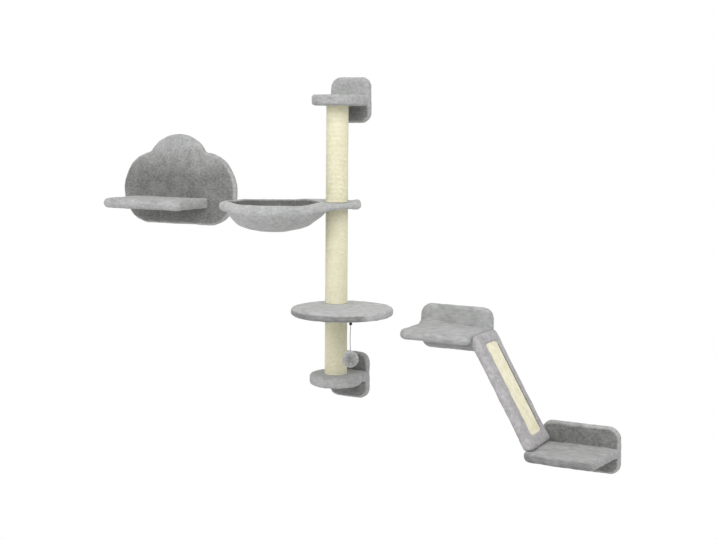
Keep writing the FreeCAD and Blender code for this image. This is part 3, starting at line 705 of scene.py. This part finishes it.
def hammock_outside(edge, angle):
    """The cover from the top of the rim round to the bag's lowest point, in one direction.

    Away from the post the rim stands out as a roll over the bag; along the sides the cloth
    runs straight down from the rim's edge; by the post the bag hangs under the pad."""
    low, high = HAMMOCK_LOW, HAMMOCK_TOP
    turn = np.radians(np.linspace(90, -90, NOSE_POINTS))
    rolled = np.stack([edge - NOSE + NOSE * np.cos(turn), (low + high) / 2 + NOSE * np.sin(turn)],
                      1)

    def hung(lip, *side):
        under = [(edge - NOSE + (lip - edge + NOSE) * i / UNDER_POINTS, low)
                 for i in range(1, UNDER_POINTS + 1)]
        bag = [(r, low + z) for r, z in ((lip, -0.5), *side, *BAG_LOW)]
        return np.concatenate([rolled, under, even(bag, BAG_POINTS)])

    far_end = hung(188, (184, -6), (175, -18), (164, -32))
    by_post = hung(213, (199, -17), (176, -35))
    drop = even([(edge - 13, high), (edge - 5, high - 2.5), (edge - 1, high - 9), (edge, high - 18),
                 (edge - 1.5, low), (206, low - 12), (193, low - 24), (176, low - 37),
                 *[(r, low + z) for r, z in BAG_LOW]], len(far_end), 100)
    far = step_up(angle, math.radians(128), math.radians(166))
    near = 1 - step_up(angle, math.radians(36), math.radians(64))
    return far_end * far + by_post * near + drop * (1 - far - near)


def hammock_inside(edge):
    """From the inside's lowest point up the bag and over the rim to where its outside starts."""
    low, high, bend = HAMMOCK_LOW, HAMMOCK_TOP, 8
    bag = even([(r, low + z) for r, z in ((0, -BAG_DEPTH_INSIDE), (60, -72), (100, -61),
                                          (134, -43), (155, -23), (170, -4), (177, 12))],
               INSIDE_POINTS)
    inner = [(HAMMOCK_OPENING_R + bend * (1 - math.cos(a)), high - bend + bend * math.sin(a))
             for a in np.radians(np.linspace(-5, 90, 11))]
    start, end = HAMMOCK_OPENING_R + bend, edge - NOSE
    across = [(start + (end - start) * i / 20, high) for i in range(1, 20)]
    return np.array([*bag, *inner, *across])


def hammock_mesh():
    """The whole cloth, as sections all round the ring's middle, waved, puckered and pressed."""
    toward_post = HAMMOCK_TURN + math.pi
    angles = np.arange(HAMMOCK_SPOKES) * 2 * math.pi / HAMMOCK_SPOKES
    columns = []
    for a in angles:
        from_post = math.remainder(a - toward_post, 2 * math.pi)
        edge = keyhole_reach(from_post)
        section = np.concatenate([hammock_inside(edge), hammock_outside(edge, abs(from_post))])
        r, z = section[1:-1, 0], section[1:-1, 1]
        x, y = hammock_x + r * math.cos(a), hammock_y + r * math.sin(a)
        away = np.hypot(x, y - POST_Y)
        sag = (4.8 - 1.4 * math.sin(from_post)) * math.sin(from_post) ** 2
        wave = 1.2 * math.sin(5 * a + 0.6) + 0.8 * math.sin(9 * a + 2.0) - sag
        upper = np.clip((z - HAMMOCK_LOW + 12) / 35, 0, 1)
        z = z + wave * upper * np.clip((away - 60) / 70, 0, 1)
        pucker = np.sin(9 * np.arctan2(y - POST_Y, x)) * np.exp(-((away - 68) / 16) ** 2)
        z = z + 1.1 * pucker * np.where(z > HAMMOCK_MIDDLE, 1, -1)

        # The post's ends press the sleeve flat.  It is drawn tight before the post, and its
        # free end is padded fuller.
        from_axis = np.stack([x, y - POST_Y], 1)
        before = (from_axis @ FRONT) / np.maximum(away, 1)
        full = np.clip((from_axis @ SIDE - 50) / 38, 0, 1) ** 2
        tight = PINCHED * (1 - full) * (np.clip((before - 0.1) / 0.5, 0, 1)
                                        * np.clip((150 - away) / 40, 0, 1))
        tight = np.maximum(tight, PRESSED * np.clip((74 - away) / 24, 0, 1))
        half = (HAMMOCK_TOP - HAMMOCK_LOW) / 2
        depth = np.clip((HAMMOCK_LOW - z) / 25, 0, None)
        z = np.where(z > HAMMOCK_LOW, HAMMOCK_MIDDLE + (z - HAMMOCK_MIDDLE) * (1 - tight),
                     z + half * tight * np.exp(-depth))
        z = z + full * np.where(z > HAMMOCK_MIDDLE, PAD_SWELL * (z - HAMMOCK_MIDDLE) / half, 0)
        columns.append(np.stack([x, y, z], 1))
    per = len(columns[0])
    verts = np.concatenate(columns + [[[hammock_x, hammock_y, HAMMOCK_LOW - BAG_DEPTH_INSIDE],
                                       [hammock_x, hammock_y, HAMMOCK_LOW - BAG_DEPTH]]])
    faces = []
    for i in range(HAMMOCK_SPOKES):
        a, b = i * per, (i + 1) % HAMMOCK_SPOKES * per
        faces += [(a + k, b + k, b + k + 1, a + k + 1) for k in range(per - 1)]
        faces += [(len(verts) - 2, b, a), (len(verts) - 1, a + per - 1, b + per - 1)]
    mesh = mesh_from("hammock_plush", verts, faces)
    # Painted shade: the cloth inside the bag takes darker tones, where the bowl lies in shade.
    depth = np.clip(np.interp(np.arange(per), (INSIDE_POINTS, INSIDE_POINTS + 9), (1, 0)), 0, 1)
    mark(mesh, "inside", [*np.tile(depth, HAMMOCK_SPOKES), 1, 0])
    return mesh


def clear_of_board(mesh):
    """Lifts what cover has dipped into the board, whose edges lie 5 mm inside the cover's."""
    points = np.array([v.co for v in mesh.vertices]) / MM
    x, y = points[:, 0] - hammock_x, points[:, 1] - hammock_y
    r = np.hypot(x, y)
    reach = np.array([keyhole_reach(a - HAMMOCK_TURN - math.pi) for a in np.arctan2(y, x)])
    over_board = (r > HAMMOCK_OPENING_R + 1.5) & (r < reach - 2.5)
    top, low = [HAMMOCK_MIDDLE + side * (BOARD_T / 2 + 0.7) for side in (1, -1)]
    z = points[:, 2]
    z = np.where(over_board & (z > HAMMOCK_MIDDLE), np.maximum(z, top), z)
    z = np.where(over_board & (z < HAMMOCK_MIDDLE) & (z > HAMMOCK_LOW - 4), np.minimum(z, low), z)
    for v, height in zip(mesh.vertices, z):
        v.co.z = height * MM


# Soft plush fleece, with painted shade inside the bag.
hammock_cloth = plush("soft_plush_fleece", "989998", "b9bab9", mottled, ("5c5d5b", "7c7d7b"),
                      where="inside")
mesh = hammock_mesh()
ruffle(mesh, [(1.8, (60, 60, 40)), (0.9, (22, 22, 12))], [(0, POST_Y, POST_R)])
clear_of_board(mesh)
hammock = finish_piece("hammock_plush", mesh, "hammock", "hammock_plush", hammock_cloth,
                       "hammock_frame_cover", "hammock_bag")


# ---- Perch
# A big wall plate, round on top over a wider round below, and one deep shelf in front of
# it, each covered in plush.  A lobe is its middle's place from PERCH_X, its height and radius.
PERCH_X, TOP_LOBE, SIDE_LOBE, FOOT_R, FOOT_TURN = -849, (-6, -322, 174), (131, -392, 166), 140, -19
NOTCH_R, PERCH_SHADE = 15, (-205, -330)
PERCH_SHELF_X, PERCH_SHELF_W, PERCH_SHELF_TOP, PERCH_SHELF_T = -890, 400, -424, 41
SHELF_FRONT, PERCH_SHELF_CORNERS, PERCH_SHELF_ROUND = 250, (32, 32), 19


def perch_half(side_of):
    """One half from the middle of its foot up to the top, side_of is 1 right or -1 left."""
    top_mid = np.array((side_of * TOP_LOBE[0], TOP_LOBE[1]), float)
    side_mid = np.array(SIDE_LOBE[:2], float)
    turn = math.radians(FOOT_TURN)
    foot = side_mid + (SIDE_LOBE[2] - FOOT_R) * np.array([math.cos(turn), math.sin(turn)])
    to_top, to_side = TOP_LOBE[2] + NOTCH_R, SIDE_LOBE[2] + NOTCH_R
    gap = math.dist(top_mid, side_mid)
    spread = math.degrees(math.acos((to_side ** 2 + gap ** 2 - to_top ** 2)
                                    / (2 * to_side * gap)))

    def heading(start, end):
        return math.degrees(math.atan2(end[1] - start[1], end[0] - start[0]))

    bearing = math.radians(heading(side_mid, top_mid) - spread)
    notch = side_mid + to_side * np.array([math.cos(bearing), math.sin(bearing)])
    side_end, top_start = heading(side_mid, notch), heading(top_mid, notch)
    half = outline([
        ("line", (0, foot[1] - FOOT_R), (foot[0], foot[1] - FOOT_R)),
        ("arc", foot, FOOT_R, -90, FOOT_TURN),
        ("arc", side_mid, SIDE_LOBE[2], FOOT_TURN, side_end),
        ("arc", notch, NOTCH_R, side_end + 180, top_start + 180),
        ("arc", top_mid, TOP_LOBE[2], top_start, 90)])
    return half * (side_of, 1) + (PERCH_X, 0)


def shelf_outline(x, wide, corners, taper=0.0, tucked=(0, 0)):
    """In plan, its back let into the plate; taper draws in the front of the right end, and
    tucked draws in the left and the right end."""
    first, last, back = x - wide / 2 + tucked[0], x + wide / 2 - tucked[1], -WALL_T + SUNK
    lean = taper / (SHELF_FRONT - WALL_T)
    return rounded_polygon([(first, back), (first, -SHELF_FRONT), (last - taper, -SHELF_FRONT),
                            (last + SUNK * lean, back)],
                           (BACK_CORNER, *corners, BACK_CORNER))


def shelf(name, plan, top_z, thick, rim_round, material, node, swept=None):
    """swept is (x, x): between these the pile rises less and less up the plate behind it."""
    soft_edge = np.interp(plan[:, 1], (-65, -28), (rim_round, 6))
    shape = slab(plan, top_z - thick, top_z, soft_edge, soft_edge, (1.5, 1.5))
    if swept:
        place, height, faces = shape
        close = np.clip(1 + (place[:, 1] + WALL_T) / 42, 0, 1) ** 2
        rise = 15 * close * np.interp(place[:, 0], swept, (1, 0.1))
        shape = place, height + rise * np.clip((height - top_z + thick) / thick, 0, 1), faces
    lumps = [(1.8, (80, 20, 30)), (1.2, (30, 11, 10))]
    return plush_piece(name, shape, in_plan, "wall_set", material, lumps, node)


# The perch plate's face has painted shade from the heights in PERCH_SHADE down.
perch_plush = plush("short_pile_plush_with_painted_shade_low", *GREY, mottled, FACE_SHADE_GREY, PERCH_SHADE)
peak = [[PERCH_X + TOP_LOBE[0], TOP_LOBE[1] + TOP_LOBE[2]]]
perch_rim = np.concatenate([perch_half(1), peak, perch_half(-1)[:0:-1]])
perch_plate = slab(perch_rim, 0, WALL_T, WALL_ROUND, WALL_BACK_ROUND, (0, 2), WALL_POCKET)
plush_piece("perch_plate_plush", perch_plate, on_wall, "wall_set", perch_plush,
            [(2.0, (46, 40, 40)), (0.9, (14, 14, 10))], "perch_wall_cover")
shelf("perch_shelf_plush", shelf_outline(PERCH_SHELF_X, PERCH_SHELF_W, PERCH_SHELF_CORNERS),
      PERCH_SHELF_TOP, PERCH_SHELF_T, PERCH_SHELF_ROUND, lit_plush, "perch_shelf_cover")


# ---- Steps
# Two wall steps: a wide low wall plate with rounded corners, and a shelf that stands out
# of it below its middle.
STEP_W, STEP_H, STEP_CORNER, SHELF_DROP, SHELF_T = 300, 172, 42, 74, 35
STEP_CORNERS, STEP_ROUND = (48, 25), 16.5
UPPER_X, UPPER_TOP, UPPER_TUCK, UPPER_SWEPT = 474, -798.5, (2, 1), (474 - 90, 474 + 60)
LOWER_X, LOWER_TOP, LOWER_TUCK, LOWER_TAPER, STEP_RIM_SHADE_TO = 976, -1199, (0, 1), 26, 126

# Painted shade darkens the lower shelf's side below its top edge, fading out towards its right end.
rim_shaded_plush = plush("short_pile_plush_with_painted_rim_shade", "868786", "a9aaa9", brushed, RIM_SHADE_GREY,
                    where="rim")

# The lower step's plate has painted shade on its face, and its shelf on its rim; the upper step has
# neither.
for step, x, top_z, taper, tuck, swept, pile, shelf_pile in (
        ("upper", UPPER_X, UPPER_TOP, 0, UPPER_TUCK, UPPER_SWEPT, brushed_plush, brushed_plush),
        ("lower", LOWER_X, LOWER_TOP, LOWER_TAPER, LOWER_TUCK, None, face_shaded_plush, rim_shaded_plush)):
    wide_rect = rounded_rect(x - STEP_W / 2, top_z - STEP_H, STEP_W, STEP_H, STEP_CORNER)
    wide_rect = flared(wide_rect, top_z - SHELF_DROP, top_z - 15, PLATE_SWELL)
    plate = slab(wide_rect, 0, WALL_T, WALL_ROUND, WALL_BACK_ROUND, (0, 2), WALL_POCKET)
    plush_piece(step + "_step_plate_plush", plate, on_wall, "wall_set", pile, PLUSH_LUMPS,
                step + "_step_wall_cover")
    plan = shelf_outline(x, STEP_W, STEP_CORNERS, taper, tuck)
    tread = shelf(step + "_step_shelf_plush", plan, top_z - SHELF_DROP, SHELF_T, STEP_ROUND,
                  shelf_pile, step + "_step_shelf_cover", swept)
    mark_rim_shade(tread, top_z - SHELF_DROP, x + STEP_RIM_SHADE_TO)


# ---- Ramp
# A padded board that leans from the upper shelf's end down to the lower shelf, with a mat
# of woven sisal let into its top to climb on.
RAMP_FROM_WALL, RAMP_W, RAMP_T, HEAD_DROP, FOOT_SET = 125, 196, 38, 8, 3
RAMP_CORNER, RAMP_ROUND, HEAD_CORNER = 13, (10.5, 16.5), 24
MAT_W, MAT_T, MAT_OUT, MAT_HEAD_DROP, MAT_FOOT_RISE, MAT_CORNER = 117, 6, 53, 38, 41.5, 32
shelf_low = UPPER_TOP - SHELF_DROP - SHELF_T
head = np.array([UPPER_X + STEP_W / 2, shelf_low - HEAD_DROP])
foot = np.array([LOWER_X - STEP_W / 2 + FOOT_SET, LOWER_TOP - SHELF_DROP])
down = (foot - head) / math.dist(foot, head)
over = np.array([-down[1], down[0]])


def at_height(point, z):
    return point + down * (z - point[1]) / down[1]


def at_side(point, x):
    return point + down * (x - point[0]) / down[0]


far_face = head + over * RAMP_T
profile = [at_height(head, foot[1]), at_height(far_face, foot[1]),
           at_side(far_face, head[0]), at_side(head, head[0])]
ramp_side = rounded_polygon(profile, [RAMP_CORNER] * 4)
near_wall, off_wall = RAMP_FROM_WALL - RAMP_W / 2, RAMP_FROM_WALL + RAMP_W / 2
mat_from, mat_to = RAMP_FROM_WALL + MAT_OUT - MAT_W, RAMP_FROM_WALL + MAT_OUT
run = (ramp_side - head) @ down
from_end = np.minimum(run - run.min(), run.max() - run)
long_edge = np.interp(from_end, (45, 100), RAMP_ROUND)
shape = slab(ramp_side, near_wall, off_wall, long_edge, long_edge, (1, 1), spacing=7.0,
             levels=tuple(np.linspace(0, 1, 44)[1:-1]))
plan, height, faces = shape
mat_face = head + over * ((RAMP_T + BOARD_T) / 2)
mat_low = at_height(mat_face, foot[1] + MAT_FOOT_RISE)
mat_high = at_height(mat_face, UPPER_TOP - SHELF_DROP - MAT_HEAD_DROP)
mat_length = math.dist(mat_low, mat_high)
run = (plan - mat_high) @ down
above = (plan - head) @ over
inset = np.minimum.reduce([height - mat_from + 4, mat_to - height - 3, run, mat_length - run])
sunk = np.clip((inset + 1.5) / 4, 0, 1) * (above > RAMP_T / 2)
plan = plan - over * (sunk * 8)[:, None]

# The head is rounded off at both sides, where the cover is pulled round its corners.
from_side = np.minimum(height - near_wall, off_wall - height)
bow = HEAD_CORNER - np.sqrt(HEAD_CORNER ** 2
                            - np.clip(HEAD_CORNER - from_side, 0, HEAD_CORNER) ** 2)
peak_run = (at_side(far_face, head[0]) - head) @ down
near_head = np.clip(1 - ((plan - head) @ down - peak_run) / 90, 0, 1) ** 2
plan = plan + down * (bow * near_head * 0.6)[:, None] * (above > 4)[:, None]
ramp_plush = plush("short_pile_plush_on_ramp", "929091", "b5b3b5", (1.4, 1.0, 1.4))
plush_piece("ramp_plush", (plan, height, faces), on_wall, "wall_set", ramp_plush,
            [(1.6, (36, 30, 36)), (0.8, (12, 12, 12))], "ramp_cover")

# Woven sisal mat: cream yarn in a plain weave of 5 mm, matt, its cut edges tucked down.  The
# shadow in the gap along its edge by the wall is painted on as a dark line.
WEAVE, MAT_STEP, GAP_SHADOW_W, GAP_SHADOW_FADE = 5.0, 1.6, 8.0, 1.6
across_count, along_count = int(MAT_W / MAT_STEP), int(mat_length / MAT_STEP)
mat_faces, mat_points = [], []


def round_corner(s, t):
    """Draws the points near a corner in, so that the mat's corners are round."""
    from_s, from_t = min(s, mat_length - s), min(t, MAT_W - t)
    if from_s >= MAT_CORNER or from_t >= MAT_CORNER:
        return s, t
    a, b = 1 - from_s / MAT_CORNER, 1 - from_t / MAT_CORNER
    drawn_s = MAT_CORNER * (1 - a * math.sqrt(1 - b * b / 2))
    drawn_t = MAT_CORNER * (1 - b * math.sqrt(1 - a * a / 2))
    return (drawn_s if s < mat_length / 2 else mat_length - drawn_s,
            drawn_t if t < MAT_W / 2 else MAT_W - drawn_t)


for i in range(along_count + 1):
    for k in range(across_count + 1):
        s, t = i / along_count * mat_length, k / across_count * MAT_W
        edge_gap = min(s, mat_length - s, t, MAT_W - t)
        s, t = round_corner(s, t)
        woven = 0.45 * math.sin(math.pi * s / WEAVE) * math.sin(math.pi * t / WEAVE)
        lift = MAT_T - 0.5 + woven - 2.5 * max(0.0, 1 - edge_gap / 3) ** 2
        u = mat_high + down * s + over * lift
        mat_points.append((u[0], -(mat_from + t), u[1]))
row = across_count + 1
for i in range(along_count):
    for k in range(across_count):
        a = i * row + k
        mat_faces.append((a, a + 1, a + row + 1, a + row))
end = along_count * row
rim_loop = [*range(row), *range(2 * row - 1, end + row, row), *range(end + row - 2, end - 1, -1),
            *range(end - row, 0, -row)]
start = len(mat_points)
for i in rim_loop:
    x, y, z = mat_points[i]
    depth = (np.array([x, z]) - mat_high) @ over
    mat_points.append((x - over[0] * depth, y, z - over[1] * depth))
for i in range(len(rim_loop)):
    k = (i + 1) % len(rim_loop)
    mat_faces.append((rim_loop[k], rim_loop[i], start + i, start + k))
mat_faces.append(tuple(range(start, start + len(rim_loop))))

mat_sisal, tree, shader = new_material("woven_sisal_mat", Roughness=0.93, Sheen_Weight=0.1,
                                       Specular_IOR_Level=0.2)
colour_between(tree, shader, mottle(tree, 24, detail=5).outputs[0], "ddd7b9", "eae6cf")
woven = shader.inputs["Base Color"].links[0].from_socket
# Painted shadow: a dark strip along the mat's edge by the wall.
gap = add(tree, "ShaderNodeAttribute", {}, attribute_name="gap").outputs["Fac"]
gap_shadowed = add(tree, "ShaderNodeMix", {0: gap, 6: woven, 7: tone("47463d")}, data_type="RGBA")
tree.links.new(gap_shadowed.outputs[2], shader.inputs["Base Color"])
raised(tree, shader, mottle(tree, 1.5, detail=4).outputs[0], 0.4)
mat_mesh = mesh_from("ramp_mat", mat_points, mat_faces)
from_edge = np.array([-v.co.y / MM - mat_from for v in mat_mesh.vertices])
mark(mat_mesh, "gap", np.clip((GAP_SHADOW_W + GAP_SHADOW_FADE - from_edge) / GAP_SHADOW_FADE, 0, 1))
finish_piece("ramp_mat", mat_mesh, "wall_set", "sisal", mat_sisal, "ramp_sisal_mat")


# ---- Boards, tubes and steel
# Particle board shows at the wall plates' backs, a little cardboard between the rope's
# ends, and zinc plated bolts, rods and screws where they come out.
chip, tree, shader = new_material("particle_board", Roughness=0.75)
place = add(tree, "ShaderNodeTexCoord", {}).outputs["Object"]
chips = add(tree, "ShaderNodeTexVoronoi", {"Vector": place, "Scale": 1 / (4 * MM)})
colour_between(tree, shader, chips.outputs["Color"], "a98f68", "d2bb92", 0.2, 0.8)
raised(tree, shader, chips.outputs[0], 0.3)

paper, tree, shader = new_material("wound_cardboard", Roughness=0.85)
colour_between(tree, shader, mottle(tree, 5, stretch=(2, 2, 0.4)).outputs[0], "a4835a", "bb9c72")

zinc, tree, shader = new_material("zinc_plated_steel", Roughness=0.35, Metallic=1.0)
colour_between(tree, shader, mottle(tree, 12).outputs[0], "b9bcbf", "d6d8da")
raised(tree, shader, mottle(tree, 0.7).outputs[0], 0.05)

for name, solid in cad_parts.items():
    if name.endswith(("_board", "_plugs")):
        finish = chip
    elif name.endswith("_tube"):
        finish = paper
    elif name.endswith(("_screws", "_rod", "_bolt")):
        finish = zinc
    else:
        continue
    solid.data.materials.clear()
    solid.data.materials.append(finish)
